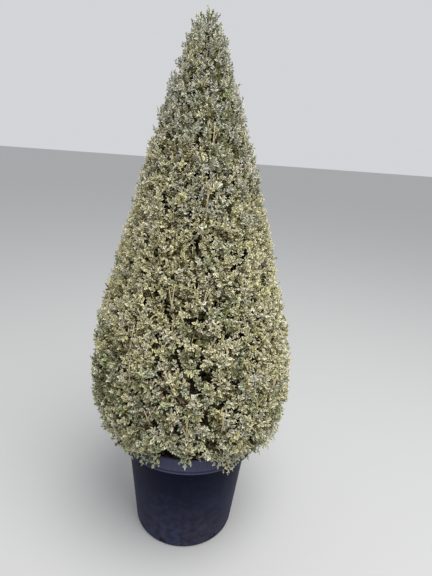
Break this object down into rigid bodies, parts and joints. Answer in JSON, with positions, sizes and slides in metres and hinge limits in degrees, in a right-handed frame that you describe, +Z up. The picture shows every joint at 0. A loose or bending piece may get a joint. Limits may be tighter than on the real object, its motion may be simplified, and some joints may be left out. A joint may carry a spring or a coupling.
{
  "type": "boxwood cone topiary in nursery pot",
  "caption": "Tall evergreen shrub with small variegated leaves, clipped to a slightly bulging cone, growing in a round tapered black plastic pot.",
  "frame": {"origin": "middle of the pot's flat underside, on the surface that it stands on", "axes": "+Z up along the cone; -Y is the side that the picture was taken from, with +X to its right"},
  "size_m": [0.6891, 0.6852, 1.7475],
  "materials": {
    "pot_plastic": "satin black, dusty low down",
    "bark_mix": "rough shredded bark",
    "stem_bark": "corky, pale",
    "foliage": "grey-green leaves with cream edges, slightly glossy"
  },
  "bodies": {
    "root": {"nursery_pot": "pot_plastic", "potting_mix": "bark_mix", "short_stem": "stem_bark", "cone_foliage": "foliage"}
  },
  "joints": []
}
